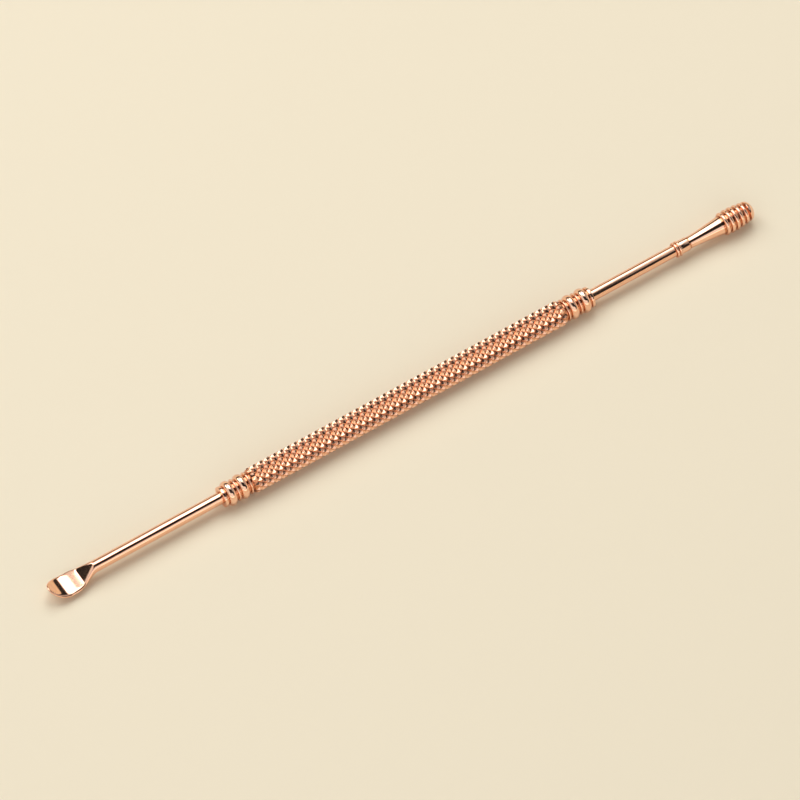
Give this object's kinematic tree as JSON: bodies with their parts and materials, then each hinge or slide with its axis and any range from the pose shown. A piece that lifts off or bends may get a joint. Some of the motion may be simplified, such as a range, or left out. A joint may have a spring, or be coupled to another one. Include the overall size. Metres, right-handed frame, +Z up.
{
  "type": "ear pick",
  "caption": "Slim metal ear pick with a knurled grip between ring-turned ferrules, an upturned flat scoop at one end and a ribbed, dome-tipped head at the other.",
  "frame": {"origin": "on the table under the middle of the pick's length, where it lies on its grip", "axes": "+X from the scoop towards the ribbed head, +Z up through the open face of the scoop"},
  "size_m": [0.114, 0.0036, 0.0037],
  "materials": {
    "polished_rose_gold": "mirror-polished rose-gold plating",
    "knurled_rose_gold": "bright rose-gold plating over a diamond knurl"
  },
  "bodies": {
    "root": {"scoop_stem": "polished_rose_gold", "scoop_ferrule": "polished_rose_gold", "grip_sleeve": "knurled_rose_gold", "head_ferrule": "polished_rose_gold", "head_stem": "polished_rose_gold", "ribbed_head": "polished_rose_gold"}
  },
  "joints": []
}
